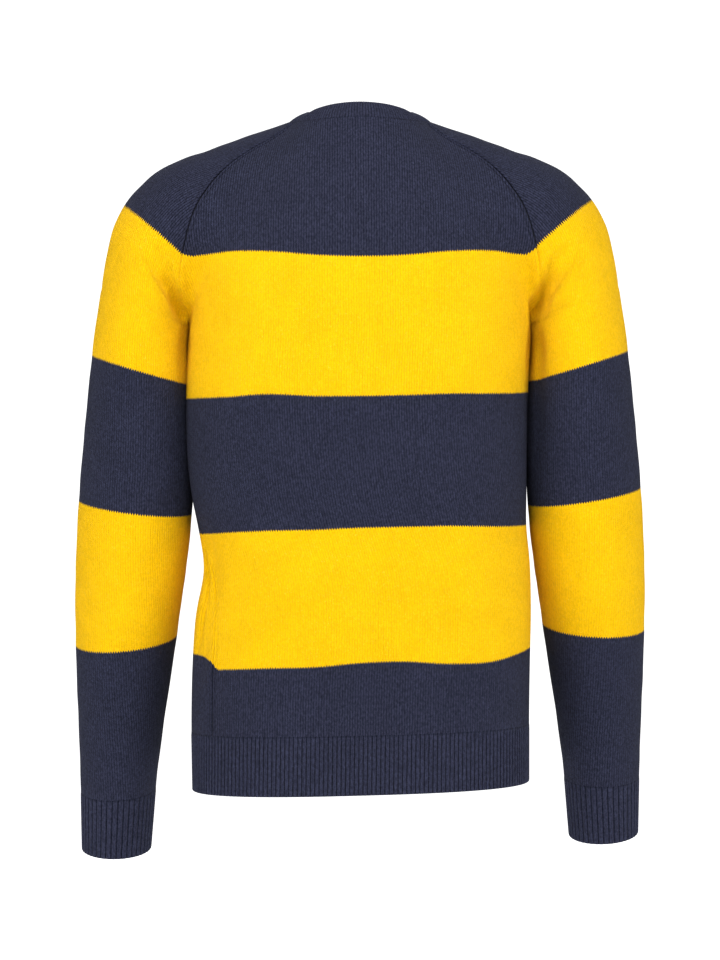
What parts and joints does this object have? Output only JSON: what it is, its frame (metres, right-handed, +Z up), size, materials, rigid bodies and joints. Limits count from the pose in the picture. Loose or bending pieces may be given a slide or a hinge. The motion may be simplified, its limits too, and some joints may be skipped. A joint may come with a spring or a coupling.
{
  "type": "knitted jumper with raglan sleeves",
  "caption": "Filled-out long-sleeved knitted jumper with wide horizontal stripes, raglan sleeves, a round ribbed neckband, and a ribbed hem and cuffs.",
  "frame": {"origin": "middle of the neck opening, at the height of the tops of the wearer's shoulders, which hold the jumper up", "axes": "+Z up, -Y the way the wearer faces, +X towards the wearer's left sleeve"},
  "size_m": [0.5938, 0.2388, 0.7833],
  "materials": {
    "striped_knit": "soft, slightly brushed plain knit",
    "navy_rib": "soft ribbed knit"
  },
  "bodies": {
    "root": {"back_panel": "striped_knit", "front_panel": "striped_knit", "sleeve_left": "striped_knit", "sleeve_right": "striped_knit", "neckband": "navy_rib", "hem_rib_back": "navy_rib", "hem_rib_front": "navy_rib", "cuff_left": "navy_rib", "cuff_right": "navy_rib"}
  },
  "joints": []
}
